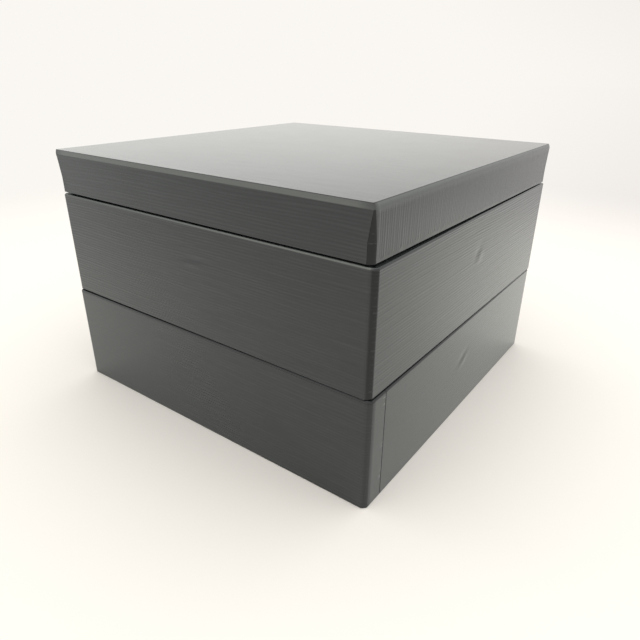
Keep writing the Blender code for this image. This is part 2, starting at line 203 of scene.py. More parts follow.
# A sheet being built: every point keeps its place on the flat paper (along and across the grain),
# how deeply the grain is pressed there, and its painted tone: above 0 where a turned edge is painted
# pale as a painted highlight, below 0 where an upright corner or a line is painted dark as painted
# shade.
class PaperSheet:
    def __init__(self, name):
        self.name = name
        self.bm = bmesh.new()
        self.place = self.bm.verts.layers.float_vector.new("paperPlace")
        self.press = self.bm.verts.layers.float.new("grainPress")
        self.paintedTone = self.bm.verts.layers.float.new("paintedLightMask")

    def point(self, position, along, across, press, paintedTone):
        vert = self.bm.verts.new(position)
        vert[self.place] = Vector((along, across, 0)) * millimetre
        vert[self.press] = press
        vert[self.paintedTone] = paintedTone
        return vert

    # The finished mesh object, its faces turned outwards, in the shared frame
    def finish(self, body):
        bmesh.ops.remove_doubles(self.bm, verts=self.bm.verts, dist=mergeReach)
        bmesh.ops.recalc_face_normals(self.bm, faces=self.bm.faces)
        if self.bm.calc_volume(signed=True) < 0:
            bmesh.ops.reverse_faces(self.bm, faces=self.bm.faces)
        self.bm.transform(bodyMatrix(body))
        mesh = bpy.data.meshes.new(self.name)
        self.bm.to_mesh(mesh)
        self.bm.free()
        return newObject(self.name, mesh)


# How the pressed grain varies: the waves of each noise in a metre, along and across it, and its detail
# and roughness
grainWaves = {
    "wander": (9.0, 30.0, 2.0, 0.5), "crowding": (16.0, 250.0, 1.0, 0.5),
    "breaking": (38.0, 420.0, 1.0, 0.6), "streaking": (55.0, 1100.0, 1.0, 0.5),
}
breakSpan = (0.32, 0.66)    # a ridge goes from broken off to whole over these values of its noise


# The grain runs along paperPlace.x; the ridges follow each other across it. The relief only goes in
# from the flat paper, so the box keeps its size.
def buildGrainTree(waves):
    tree = bpy.data.node_groups.new("pressedGrain", "GeometryNodeTree")
    names = ("Pitch", "Depth", "Wander", "Uneven", "Streaks", "Breaks", "Seed")
    kinds = {"Sheet": "Geometry", **dict.fromkeys(names, "Float"), "Paper": "Material"}
    for name, kind in kinds.items():
        tree.interface.new_socket(name, in_out="INPUT", socket_type="NodeSocket" + kind)
    tree.interface.new_socket("Sheet", in_out="OUTPUT", socket_type="NodeSocketGeometry")
    given = addNode(tree, "NodeGroupInput")
    placed = addNode(tree, "GeometryNodeInputNamedAttribute", {"data_type": "FLOAT_VECTOR"},
                     {"Name": "paperPlace"})[0]
    pressed = addNode(tree, "GeometryNodeInputNamedAttribute", numbers, {"Name": "grainPress"})[0]
    across = addNode(tree, "ShaderNodeSeparateXYZ", None, [placed])[1]
    varied = {}
    for name, (along, cross, detail, roughness) in waves.items():
        where = addNode(tree, "ShaderNodeVectorMath", multiply, [placed, (along, cross, 0.0)])[0]
        varied[name] = addNode(tree, noiseNode, {"noise_dimensions": "4D"}, {
            "Vector": where, "W": given["Seed"], "Scale": 1.0, "Detail": detail,
            "Roughness": roughness})[0]
    # the ridges wander slowly across the sheet
    drift = addNode(tree, mathNode, subtract, [varied["wander"], 0.5])[0]
    wander = addNode(tree, mathNode, multiply, [drift, given["Wander"]])[0]
    shifted = addNode(tree, mathNode, {"operation": "ADD"}, [across, wander])[0]
    # neighbouring ridges crowd together or spread apart
    crowded = addNode(tree, mathNode, subtract, [varied["crowding"], 0.5])[0]
    bent = addNode(tree, mathNode, {"operation": "MULTIPLY_ADD"},
                   [crowded, given["Uneven"], shifted])[0]
    turns = addNode(tree, mathNode, {"operation": "DIVIDE"}, [bent, given["Pitch"]])[0]
    angle = addNode(tree, mathNode, multiply, [turns, 2 * math.pi])[0]
    wave = addNode(tree, mathNode, {"operation": "SINE"}, [angle])[0]
    ridge = addNode(tree, rangeNode, None, [wave, -1.0, 1.0])[0]
    # each ridge swells, thins and breaks off along its way
    kept = addNode(tree, rangeNode, smooth, [varied["breaking"], *breakSpan])[0]
    share = addNode(tree, mixNode, numbers, [given["Breaks"], None, 1.0, kept])[0]
    ridges = addNode(tree, mathNode, multiply, [ridge, share])[0]
    # finer streaks between the ridges
    relief = addNode(tree, mixNode, numbers,
                     [given["Streaks"], None, ridges, varied["streaking"]])[0]
    noted = addNode(tree, "GeometryNodeStoreNamedAttribute", {"data_type": "FLOAT", "domain": "POINT"},
                    {"Geometry": given["Sheet"], "Name": "grainRelief", "Value": relief})[0]
    below = addNode(tree, mathNode, subtract, [relief, 1.0])[0]
    deep = addNode(tree, mathNode, multiply, [below, given["Depth"]])[0]
    sunk = addNode(tree, mathNode, multiply, [deep, pressed])[0]
    outward = addNode(tree, "GeometryNodeInputNormal")[0]
    push = addNode(tree, "ShaderNodeVectorMath", {"operation": "SCALE"}, {0: outward, "Scale": sunk})[0]
    moved = addNode(tree, "GeometryNodeSetPosition", None, {"Geometry": noted, "Offset": push})[0]
    whole = addNode(tree, "GeometryNodeRealizeInstances", None, [moved])[0]
    coated = addNode(tree, "GeometryNodeSetMaterial", None,
                     {"Geometry": whole, "Material": given["Paper"]})[0]
    addNode(tree, "NodeGroupOutput", None, [coated])
    return tree


# The sheet's own flat coordinates, in metres, as a UV map: u runs along the grain, v across it
def layPaperMap(mesh):
    places = np.zeros(len(mesh.vertices) * 3, np.float32)
    mesh.attributes["paperPlace"].data.foreach_get("vector", places)
    corners = np.zeros(len(mesh.loops), np.int32)
    mesh.loops.foreach_get("vertex_index", corners)
    paperMap = mesh.uv_layers.new(name="paper")
    paperMap.uv.foreach_set("vector", places.reshape(-1, 3)[corners, :2].ravel())


# Presses the grain into a sheet and turns the result into a plain mesh
def pressGrain(piece, tree, grain, paper):
    values = {"Streaks": grain["streaks"], "Breaks": grain["breaks"], "Seed": grain["seed"],
              "Paper": paper}
    for name in ("pitch", "depth", "wander", "uneven"):
        values[name.capitalize()] = grain[name] * millimetre
    press = piece.modifiers.new("pressedGrain", "NODES")
    press.node_group = tree
    for item in tree.interface.items_tree:
        if item.in_out == "INPUT" and item.name in values:
            press[item.identifier] = values[item.name]
    flat = piece.data
    graph = bpy.context.evaluated_depsgraph_get()
    pressedMesh = bpy.data.meshes.new_from_object(piece.evaluated_get(graph), depsgraph=graph)
    pressedMesh.name = piece.name
    piece.modifiers.clear()
    piece.data = pressedMesh
    bpy.data.meshes.remove(flat)
    layPaperMap(pressedMesh)
    pressedMesh.shade_smooth()
    pressedMesh.set_sharp_from_angle(angle=math.radians(sharpBend))
    return piece


# Each tier's wrap is one strip: inside the recess, round the foot, up the wall, over the rim and down.
tierPaper = {
    "width": 195.0, "height": 54.3, "thickness": 0.3, "paste": 0.15,
    "recessFace": 3.8, "recessTop": 7.85, "turnInFace": 5.3, "turnIn": 14.0,
    "rimRadius": 0.8, "footRadius": 0.45, "innerRadius": 0.5, "drawBack": 2.2, "droopReach": 4.5,
    "lapWidth": 12.0, "lapRamp": 0.5,
    # how finely the sheet is cut
    "rowStep": 0.24, "columnStep": 5.0, "dentColumnStep": 0.6, "dentReach": 9.0, "lapStep": 2.5,
    "lapClear": 1.0, "cornerEase": 0.4, "cornerSteps": 10, "foldSteps": 6,
    # how much of the grain a fold keeps, and how much of it a corner loses
    "foldPress": 0.45, "cornerLoss": 0.6,
    # where in a corner's turn the painted shade sets in, and where the waves up it add up to a row of
    # painted glints that lighten it
    "shadeFrom": 0.1, "shadeOver": 0.25,
    "glintWaves": ((2.1, 0.0), (5.3, 1.0)), "glintLevel": 1.5, "glintFrom": 0.5, "glintShadeKept": 0.45,
    # the rim's fold is painted along its middle: pale as a painted highlight on some walls, dark as
    # painted shade beside the seam on others; a painted shade line runs a little below it
    "rimDarkest": -0.2, "rimMiddle": 0.41, "toneFull": 1.5, "toneFall": 2.8, "toneFade": 2,
    "shadeLineBelow": 0.36, "paintedLineReach": 0.13,
    # where a bruise ends and where its hollow lies, in its own lengths and widths
    "bruiseEnds": (3, 4), "hollowLength": 1.2, "hollowAside": 1.3, "hollowDepth": 0.8,
}

# Values in fours are for the right, back, left and front walls, sides 0 to 3. The rim's gap (how far
# its outer edge draws back from its flat) and its painted tone (above 0 a painted highlight, below 0
# painted shade beside the seam) go from a first to a last value along a wall, the gap the sooner the
# larger gapFade is.
# A bruise is a soft welt with a hollow beside it: its place along and up the wall, its length and
# width, its lean in degrees and its lift.
upperWrapLooks = {
    "name": "upperWrap", "node": "upper_wrap", "body": "upper_tier", "cornerRadius": 2.7, "lapSide": 2,
    "cornerFlat": (0.3, 0.3, 0.3, 0.7), "cornerShade": 1.0,
    "rimGap": ((0.75, 0.2), (0.4, 0.4), (0.4, 0.4), (0.45, 0.48)), "gapFade": 3,
    "rimPaintedTone": ((-0.15, 0.15), (0.2, 0.2), (0.2, 0.2), (0.15, 0.6)),
    "rimShadeLine": 0.0,
    "grain": {"pitch": 1.4, "depth": 0.11, "wander": 5.0, "uneven": 2.0, "streaks": 0.52, "breaks": 0.9,
              "seed": 3.0},
    "bruises": (
        (2.2, 32.4, 3.8, 2.9, 32.0, 0.15), (-2.0, 33.5, 4.5, 1.4, -10.0, 0.12),
        (1.0, 31.5, 5.0, 1.4, 6.0, 0.1), (3.0, 35.7, 5.5, 1.4, 8.0, 0.25),
    ),
}

lowerWrapLooks = {
    "name": "lowerWrap", "node": "lower_wrap", "body": "lower_tier", "cornerRadius": 2.2, "lapSide": 0,
    "cornerFlat": (0.3, 0.3, 0.3, 0.6), "cornerShade": 0.35,
    "rimGap": ((0.7, 0.65), (0.2, 0.2), (0.2, 0.2), (0.65, 0.05)), "gapFade": 2,
    "rimPaintedTone": ((-0.4, -0.2), (-0.1, -0.1), (-0.1, -0.1), (0.15, -0.1)),
    "rimShadeLine": 0.7,
    "grain": {"pitch": 1.6, "depth": 0.035, "wander": 5.0, "uneven": 1.8, "streaks": 0.6, "breaks": 0.8,
              "seed": 11.0},
    "bruises": (
        (-1.8, 30.6, 4.8, 2.3, 22.0, 0.19), (2.5, 29.0, 5.0, 1.4, 8.0, 0.1),
        (-1.0, 28.0, 4.5, 1.4, -7.0, 0.08), (-2.0, 27.6, 5.0, 1.6, 5.0, 0.06),
    ),
}


# A place at the right wall or the corner after it, carried round the box to another side
def carried(x, y, side):
    return ((x, y), (-y, x), (-x, -y), (y, -x))[side]


# A corner is between a round one and a straight cut across it, by its flat share
def cornerPoint(halfWidth, radius, corner, inset, turn, flat):
    tight = max(radius - inset, tightestCorner)
    angle = turn * math.pi / 2
    right = (1 - flat) * math.cos(angle) + flat * (1 - turn)
    back = (1 - flat) * math.sin(angle) + flat * turn
    reach = halfWidth - inset - tight
    return carried(reach + tight * right, reach + tight * back, corner)


# A value that goes along each wall from one end to the other, and round each corner to the next wall. A
# place along a wall counts from the wall's middle, anticlockwise seen from above.
def sideValue(ends, column, half, fade):
    side = column["side"]
    if column["turn"] is None:
        left = 1 - (column["along"] + half) / (2 * half)
        return between(ends[side][1], ends[side][0], left ** fade)
    return between(ends[side][1], ends[(side + 1) % 4][0], column["turn"])


# How far a bruise pushes its wall out at a place
def bruiseLift(spec, bruise, along, height):
    middle, middleHeight, length, width, leanAngle, lift = bruise
    lean = math.radians(leanAngle)
    right, up = along - middle, height - middleHeight
    lengthwise = (right * math.cos(lean) + up * math.sin(lean)) / length
    crosswise = (up * math.cos(lean) - right * math.sin(lean)) / width
    lengthEnd, widthEnd = spec["bruiseEnds"]
    if abs(lengthwise) >= lengthEnd or abs(crosswise) >= widthEnd:
        return 0.0
    aside = crosswise - spec["hollowAside"]
    welt = math.exp(-lengthwise ** 2 - crosswise ** 2)
    hollow = math.exp(-(lengthwise / spec["hollowLength"]) ** 2 - aside ** 2)
    return lift * (welt - spec["hollowDepth"] * hollow)


# The columns of a wall stand closer together in its middle, where the bruises are
def sideStops(edge, spec):
    reach = spec["dentReach"]
    outer = [spec["cornerEase"] - edge] + spread(-edge, -reach, spec["columnStep"])[1:-1]
    inner = spread(-reach, reach, spec["dentColumnStep"])
    return outer + inner + [-stop for stop in reversed(outer)]


# Once round the box, from under the lap to the end of the lap over it
def tierColumns(spec, looks):
    half = spec["width"] / 2
    edge = half - looks["cornerRadius"]
    under = spec["thickness"] + spec["paste"]
    lapSide = looks["lapSide"]
    lapEnd = -half + spec["lapWidth"]
    beyondLap = lapEnd + spec["paste"] + spec["lapRamp"]

    def onSide(side, along, lift=0.0):
        return {"side": side, "along": along, "turn": None, "lift": lift}

    columns = [
        onSide(lapSide, -half + spec["turnInFace"] + spec["lapRamp"], under),
        onSide(lapSide, lapEnd + spec["paste"], under),
        onSide(lapSide, beyondLap),
    ]
    stops = sideStops(edge, spec)
    columns += [onSide(lapSide, stop) for stop in stops if stop > beyondLap + spec["lapClear"]]
    for corner in range(lapSide, lapSide + 4):
        for step in range(spec["cornerSteps"] + 1):
            turn = step / spec["cornerSteps"]
            columns.append({"side": corner % 4, "along": None, "turn": turn, "lift": 0.0})
        following = (corner + 1) % 4
        if following != lapSide:
            columns += [onSide(following, stop) for stop in stops]
    columns += [onSide(lapSide, stop) for stop in spread(-edge, lapEnd, spec["lapStep"])[1:]]
    return columns


def buildTierWrap(spec, looks):
    half = spec["width"] / 2
    radius = looks["cornerRadius"]
    height = spec["height"]
    points = [
        (spec["recessFace"], spec["recessTop"]),
        (spec["recessFace"], 0.0),
        (0.0, 0.0),
        (0.0, height),
        (spec["turnInFace"], height),
        (spec["turnInFace"], height - spec["turnIn"]),
    ]
    radii = [spec["innerRadius"], spec["footRadius"], spec["rimRadius"], spec["innerRadius"]]
    wallPieces = round((height - spec["footRadius"] - spec["rimRadius"]) / spec["rowStep"])
    # runs: the recess, the foot, the wall, the rim, the inside
    outerRuns = [3, 2, wallPieces, 6, 5]
    hiddenRuns = [1, 1, 3, 1, 1]
    recessRun, wallRun, rimFold = 0, 2, 2
    distances = rowDistances(sectionRows(points, radii, 0.0, 1, spec["foldSteps"], outerRuns))
    sheet = PaperSheet(looks["name"])
    columns = tierColumns(spec, looks)

    def placed(column, inset):
        side = column["side"]
        if column["turn"] is None:
            return carried(half - inset, column["along"], side)
        return cornerPoint(half, radius, side, inset, column["turn"], looks["cornerFlat"][side])

    shadeLineHeight = height - spec["rimRadius"] - spec["shadeLineBelow"]

    # the paper droops at the rim's outer edge, where no board fills it: the seam over it opens outwards
    def settled(row, gap):
        high = height - row["height"]
        atRim = 1 - smoothStep((high - spec["rimRadius"]) / spec["drawBack"])
        return row["height"] - gap * atRim * max(1 - row["inset"] / spec["droopReach"], 0)

    # an upright corner is painted dark, painted shade standing in for its reflection of the dark floor
    # in front of it, a little less so on rows of painted glints across it
    def paintedCornerShade(column, row):
        if column["turn"] in (None, 1.0) or column["lift"] > 0:
            return 0.0
        glintWave = sum(math.sin(row["height"] * wave + shift) for wave, shift in spec["glintWaves"])
        glinting = glintWave > spec["glintLevel"] and column["turn"] > spec["glintFrom"]
        tight = smoothStep((column["turn"] - spec["shadeFrom"]) / spec["shadeOver"])
        return -tight * looks["cornerShade"] * (spec["glintShadeKept"] if glinting else 1.0)

    # the rim's fold gets its painted tone in its middle and not at its ends: a painted highlight where
    # the tone is above 0, painted shade beside the seam where it is below
    def rimToned(row, paintedTone, edgeTone):
        turned = math.hypot(row["inset"], height - row["height"]) / spec["rimRadius"]
        share = smoothStep(spec["toneFull"] - spec["toneFall"] * (turned - spec["rimMiddle"]))
        return max(paintedTone, spec["rimDarkest"]) + edgeTone * share

    travelled = 0.0
    lastPlace = Vector(placed(columns[0], 0.0))
    outerGrid, hiddenGrid = [], []
    for column in columns:
        here = Vector(placed(column, 0.0))
        travelled += (here - lastPlace).length
        lastPlace = here
        onCorner = 0.0 if column["turn"] is None else math.sin(column["turn"] * math.pi)
        gap = sideValue(looks["rimGap"], column, half, looks["gapFade"])
        edgeTone = sideValue(looks["rimPaintedTone"], column, half, spec["toneFade"])
        outerRow = []
        rows = sectionRows(points, radii, column["lift"], 1, spec["foldSteps"], outerRuns)
        for row, across in zip(rows, distances):
            inset = row["inset"]
            onWall = row["run"] == wallRun
            if onWall and column["turn"] is None:
                bruise = looks["bruises"][column["side"]]
                inset -= bruiseLift(spec, bruise, column["along"], row["height"])
            x, y = placed(column, inset)
            press = 1.0 if row["fold"] is None else spec["foldPress"]
            press *= 1 - spec["cornerLoss"] * onCorner
            if column["lift"] > 0 or row["run"] == recessRun:
                press = 0.0
            paintedTone = paintedCornerShade(column, row)
            if row["fold"] == rimFold:
                paintedTone = rimToned(row, paintedTone, edgeTone)
            # a thin line of painted shade runs round the wall just below the rim
            if onWall and abs(row["height"] - shadeLineHeight) < spec["paintedLineReach"]:
                paintedTone -= looks["rimShadeLine"]
            outerRow.append(sheet.point((x, y, settled(row, gap)), travelled, across, press, paintedTone))
        hiddenRow = []
        depth = column["lift"] + spec["thickness"]
        for row in sectionRows(points, radii, depth, 1, hiddenFoldSteps, hiddenRuns):
            x, y = placed(column, row["inset"])
            hiddenRow.append(sheet.point((x, y, settled(row, gap)), travelled, 0.0, 0.0, 0.0))
        outerGrid.append(outerRow)
        hiddenGrid.append(hiddenRow)
    gridFaces(sheet.bm, outerGrid)
    gridFaces(sheet.bm, hiddenGrid)
    hiddenDistances = rowDistances(sectionRows(points, radii, 0.0, 1, hiddenFoldSteps, hiddenRuns))
    outerStops = [distance / distances[-1] for distance in distances]
    hiddenStops = [distance / hiddenDistances[-1] for distance in hiddenDistances]
    for end in (0, -1):
        gridFaces(sheet.bm, [[row[end] for row in outerGrid], [row[end] for row in hiddenGrid]])
        zipRows(sheet.bm, outerGrid[end], outerStops, hiddenGrid[end], hiddenStops)
    return sheet.finish(looks["body"])


# The lid's wrap: one sheet, its grain running left to right over the top, so that it stands
# upright on the left and right walls. The front and back flaps lie over tabs folded round the corners.
lidPaper = {
    "name": "lidWrap", "node": "lid_wrap", "body": "lid",
    "width": 194.5, "height": 21.8, "thickness": 0.3, "turnInFace": 3.35, "turnIn": 12.0,
    "edgeRadius": 2.6, "flapTuck": 0.2, "wallTuck": 0.9, "edgeFlat": 0.6, "wallFlat": 0.2,
    "rimRadius": 0.45, "innerRadius": 0.5,
    "cornerRadius": 2.4, "pointRadius": 0.6, "cornerStraight": 7.8, "cornerFlat": 0.3,
    "flapStep": 0.18, "flapStepFade": 3.0, "flapShy": 0.06, "insideShy": 0.5, "margin": 2.75,
    # how finely the sheet is cut
    "rowStep": 0.25, "topStep": 0.28, "columnStep": 4.5, "coarsePieces": 11, "cornerSteps": 9,
    "foldSteps": 8,
    # how deeply the grain is pressed
    "topPress": 0.3, "edgePress": 0.35, "rimPress": 0.25, "rimPressReach": 1.5, "turnInPress": 0.2,
    "cornerPress": 0.3, "wallPress": 0.6, "wallPressMore": 0.8, "wallPressReach": 22.0,
    # how the turned edge is painted pale as a painted highlight
    "edgeHighlight": 0.42, "cornerHighlightShare": 0.35, "cornerHighlightReach": 9.0, "wallHighlight": 0.45, "wallHighlightReach": 1.6,
    "highlightOnset": 5.0,
    # how dark the corners are painted as painted shade, and the two lighter lines of painted glint
    # across them
    "cornerShade": 1.0, "tabGlintLine": -0.3, "paintedLineReach": 0.13, "shortGlintUp": 3.5,
    "shortGlintSteps": (4, 6),
    "grain": {"pitch": 1.6, "depth": 0.085, "wander": 6.0, "uneven": 2.4, "streaks": 0.4, "breaks": 0.7,
              "seed": 23.0},
}


# Round at the rim, and tightening to a point at the top
def lidCornerRadius(spec, height):
    top = spec["height"] - spec["edgeRadius"]
    share = clamped((height - spec["cornerStraight"]) / (top - spec["cornerStraight"]))
    return between(spec["cornerRadius"], spec["pointRadius"], share)


def buildLidWrap(spec):
    half = spec["width"] / 2
    top = spec["height"]
    margin = spec["margin"]
    sheet = PaperSheet(spec["name"])
    bm = sheet.bm
    points = [(margin, top), (0.0, top), (0.0, 0.0), (spec["turnInFace"], 0.0),
              (spec["turnInFace"], spec["turnIn"])]
    radii = [spec["edgeRadius"], spec["rimRadius"], spec["innerRadius"]]
    steps = spec["foldSteps"]
    finePieces = round((top - spec["edgeRadius"] - spec["rimRadius"]) / spec["rowStep"])

    # the top's edge is flattened towards a straight cut; it is steeper at the front and back
    def edgedRows(depth, foldSteps, runPieces):
        rows = sectionRows(points, radii, depth, -1, foldSteps, runPieces)
        edge = [row for row in rows if row["fold"] == 0]
        bend = spec["edgeRadius"] - depth
        for row in rows:
            row["wallInset"] = row["inset"]
        for index, row in enumerate(edge):
            down = index / len(edge)
            turned, cut = row["inset"] - depth, bend * (1 - down)
            row["height"] = between(row["height"], top - depth - bend * down, spec["edgeFlat"])
            flapWay = between(turned, cut, spec["edgeFlat"])
            wallWay = between(turned, cut, spec["wallFlat"])
            row["inset"] = depth + flapWay * spec["flapTuck"] / spec["edgeRadius"]
            row["wallInset"] = depth + wallWay * spec["wallTuck"] / spec["edgeRadius"]
        return rows

    # rows with their distances, down to the first of the rim's fold and from there on; row 0 is the
    # top's own edge, and left out
    def cutRows(wallPieces):
        rows = edgedRows(0.0, steps, [1, wallPieces, 2, 4])
        lines = list(zip(rows, rowDistances(rows)))
        rim = 2 + steps + wallPieces
        return lines[1:rim], lines[rim:]

    fineWall, rimLines = cutRows(finePieces)
    coarseWall = cutRows(spec["coarsePieces"])[0]
    fineStops, coarseStops = ([distance for row, distance in lines] for lines in (fineWall, coarseWall))
    xStops = spread(-(half - margin), half - margin, spec["columnStep"])
    yStops = spread(-(half - margin), half - margin, spec["topStep"])
    yCoarse = spread(-(half - margin), half - margin, spec["columnStep"])

    def rowRadius(row):
        return max(lidCornerRadius(spec, row["height"]) - row["inset"], tightestCorner)

    def flapEnd(row):
        return rowRadius(row) + spec["flapShy"]

    # the tab lies a paper's depth under the flap, less and less towards the top fold and the rim
    def tabDepth(row):
        if row["run"] == 1 or row["fold"] == 1:
            fade = min((top - spec["edgeRadius"] - row["height"]) / spec["flapStepFade"], 1.0)
            return spec["flapStep"] * max(fade, 0.0) * smoothStep(row["height"] / spec["rimRadius"])
        return 0.0

    # inside, the walls are shorter, and their columns stand closer
    def squeezed(stop, row):
        return stop * min(1.0, (half - row["inset"] - spec["insideShy"]) / (half - margin))

    def pressAt(row):
        if row["fold"] == 0:
            return spec["edgePress"]
        if row["run"] == 1:
            fromRim = smoothStep((row["height"] - spec["rimRadius"]) / spec["rimPressReach"])
            return between(spec["rimPress"], 1, fromRim)
        return spec["topPress"] if row["run"] == 0 else spec["turnInPress"]

    # the turned edge is painted pale as a painted highlight: sharply on the front and back, and fading
    # down the right and left walls
    def flapEdgeHighlight(x, row):
        if row["fold"] != 0:
            return 0.0
        down = (top - row["height"]) / spec["edgeRadius"]
        fromCorner = smoothStep((half - abs(x)) / spec["cornerHighlightReach"])
        edgeTone = spec["edgeHighlight"] * between(spec["cornerHighlightShare"], 1, fromCorner)
        return edgeTone * smoothStep(down * spec["highlightOnset"])

    def wallEdgeHighlight(row):
        down = (top - row["height"]) / spec["edgeRadius"]
        edgeTone = spec["wallHighlight"] * max(1 - down / spec["wallHighlightReach"], 0.0)
        return edgeTone * smoothStep(down * spec["highlightOnset"])

    # the ridges of the right and left walls stand up most towards the corners
    def wallPress(y, row):
        nearCorner = math.exp(-(half - abs(y)) / spec["wallPressReach"])
        return pressAt(row) * (spec["wallPress"] + spec["wallPressMore"] * nearCorner)

    # front and back: sign -1 is the front
    def flapPoint(sign, x, row, distance, hidden=False):
        place = (x, sign * (half - row["inset"]), row["height"])
        across = sign * (half - margin + distance)
        press = 0.0 if hidden else pressAt(row)
        return sheet.point(place, x, across, press, flapEdgeHighlight(x, row))

    # right and left: sign 1 is the right
    def wallPoint(sign, y, row, distance, hidden=False):
        place = (sign * (half - row["wallInset"]), y, row["height"])
        along = sign * (half - margin + distance)
        press = 0.0 if hidden else wallPress(y, row)
        return sheet.point(place, along, y, press, wallEdgeHighlight(row))

    # a point of a corner: at step 0 the tab's flat part, then the turn from front or back to the side
    def tabPoint(signX, signY, step, row, distance, hidden=False):
        tight = rowRadius(row)
        depth = 0.0 if hidden else tabDepth(row)
        centreY = half - row["inset"] - depth - tight
        if step == 0:
            x, y = half - row["wallInset"] - flapEnd(row), half - row["inset"] - depth
            roundWay = tight * math.pi / 2 + spec["flapShy"]
        else:
            share = (step - 1) / spec["cornerSteps"]
            turn = share * math.pi / 2
            flat = spec["cornerFlat"]
            x = half - row["wallInset"] - tight + tight * ((1 - flat) * math.sin(turn) + flat * share)
            y = centreY + tight * ((1 - flat) * math.cos(turn) + flat * (1 - share))
            roundWay = tight * (math.pi / 2 - turn)
        along = signX * (half - margin + distance)
        across = signY * (centreY + roundWay)
        press = 0.0 if hidden else spec["cornerPress"] * pressAt(row)
        # the corner is painted dark as painted shade, with two lighter lines of painted glint across it
        paintedTone = -spec["cornerShade"]
        up = row["height"] - spec["cornerStraight"]
        first, last = spec["shortGlintSteps"]
        onShortGlint = abs(up - spec["shortGlintUp"]) < spec["paintedLineReach"] and first <= step <= last
        if abs(up) < spec["paintedLineReach"] or onShortGlint:
            paintedTone = spec["tabGlintLine"]
        if row["fold"] == 0:
            paintedTone = flapEdgeHighlight(half, row)
        elif hidden or step == spec["cornerSteps"] + 1:
            paintedTone = 0.0
        return sheet.point((signX * x, signY * y, row["height"]), along, across, press, paintedTone)

    # the top
    topGrid = [[sheet.point((x, y, top), x, y, spec["topPress"], 0.0) for x in xStops] for y in yStops]
    gridFaces(bm, topGrid)

    # front and back strips
    flaps = {}
    for sign in (-1, 1):
        rows = []
        for row, distance in fineWall:
            end = half - row["wallInset"] - flapEnd(row)
            stops = [-end] + xStops + [end]
            rows.append([flapPoint(sign, x, row, distance) for x in stops])
        flaps[sign] = rows
        gridFaces(bm, rows)
        edge = topGrid[0] if sign < 0 else topGrid[-1]
        gridFaces(bm, [edge, rows[0][1:-1]])

    # right and left strips, with the top's fine rows carried down the wall
    walls = {}
    for sign in (-1, 1):
        rows = [[wallPoint(sign, y, *line) for y in yStops] for line in coarseWall[:-1]]
        walls[sign] = rows
        gridFaces(bm, rows)
        edge = [line[-1] if sign > 0 else line[0] for line in topGrid]
        gridFaces(bm, [edge, rows[0]])

    # the rim's first row on the right and left is coarse, and zipped to the fine rows above it
    sideRims = {}
    for sign in (-1, 1):
        rim = [wallPoint(sign, y, *coarseWall[-1]) for y in yCoarse]
        sideRims[sign] = rim
        zipRows(bm, walls[sign][-1], yStops, rim, yCoarse)

    # corners: columns from the flap round to the side wall, and a face at the top
    turnSteps = range(spec["cornerSteps"] + 2)
    corners = {}
    for signX in (-1, 1):
        for signY in (-1, 1):
            columns = [[tabPoint(signX, signY, step, *line) for line in fineWall] for step in turnSteps]
            corners[signX, signY] = columns
            gridFaces(bm, columns)
            flapColumn = [line[-1] if signX > 0 else line[0] for line in flaps[signY]]
            gridFaces(bm, [flapColumn, columns[0]])
            sideIndex = 0 if signY < 0 else -1
            wallColumn = [line[sideIndex] for line in walls[signX]] + [sideRims[signX][sideIndex]]
            zipRows(bm, columns[-1], fineStops, wallColumn, coarseStops)
            topCorner = topGrid[0 if signY < 0 else -1][-1 if signX > 0 else 0]
            loop = [topCorner, flaps[signY][0][-2 if signX > 0 else 1], flapColumn[0]]
            loop += [column[0] for column in columns] + [wallColumn[0]]
            bm.faces.new(loop)

    # from the rim's fold on, rings right round: under the rim, up inside, and back behind the paper
    def ring(row, distance, hidden):
        end = half - row["inset"] - flapEnd(row)
        stops = [-end] + [squeezed(x, row) for x in xStops] + [end]
        sides = [squeezed(y, row) for y in yCoarse]
        line = (row, distance, hidden)
        verts = [flapPoint(-1, x, *line) for x in stops]
        verts += [tabPoint(1, -1, step, *line) for step in turnSteps]
        verts += [wallPoint(1, y, *line) for y in sides]
        verts += [tabPoint(1, 1, step, *line) for step in reversed(turnSteps)]
        verts += [flapPoint(1, x, *line) for x in reversed(stops)]
        verts += [tabPoint(-1, 1, step, *line) for step in turnSteps]
        verts += [wallPoint(-1, y, *line) for y in reversed(sides)]
        verts += [tabPoint(-1, -1, step, *line) for step in reversed(turnSteps)]
        return verts

    rings = [flaps[-1][-1] + [column[-1] for column in corners[1, -1]] + sideRims[1]
             + [column[-1] for column in reversed(corners[1, 1])] + flaps[1][-1][::-1]
             + [column[-1] for column in corners[-1, 1]] + sideRims[-1][::-1]
             + [column[-1] for column in reversed(corners[-1, -1])]]
    for row, distance in rimLines:
        rings.append(ring(row, distance, False))
    for row in reversed(edgedRows(spec["thickness"], hiddenFoldSteps, [1, 2, 1, 1])):
        rings.append(ring(row, 0.0, True))
    gridFaces(bm, [line + line[:1] for line in rings])
    bm.faces.new(rings[-1])
    return sheet.finish(spec["body"])


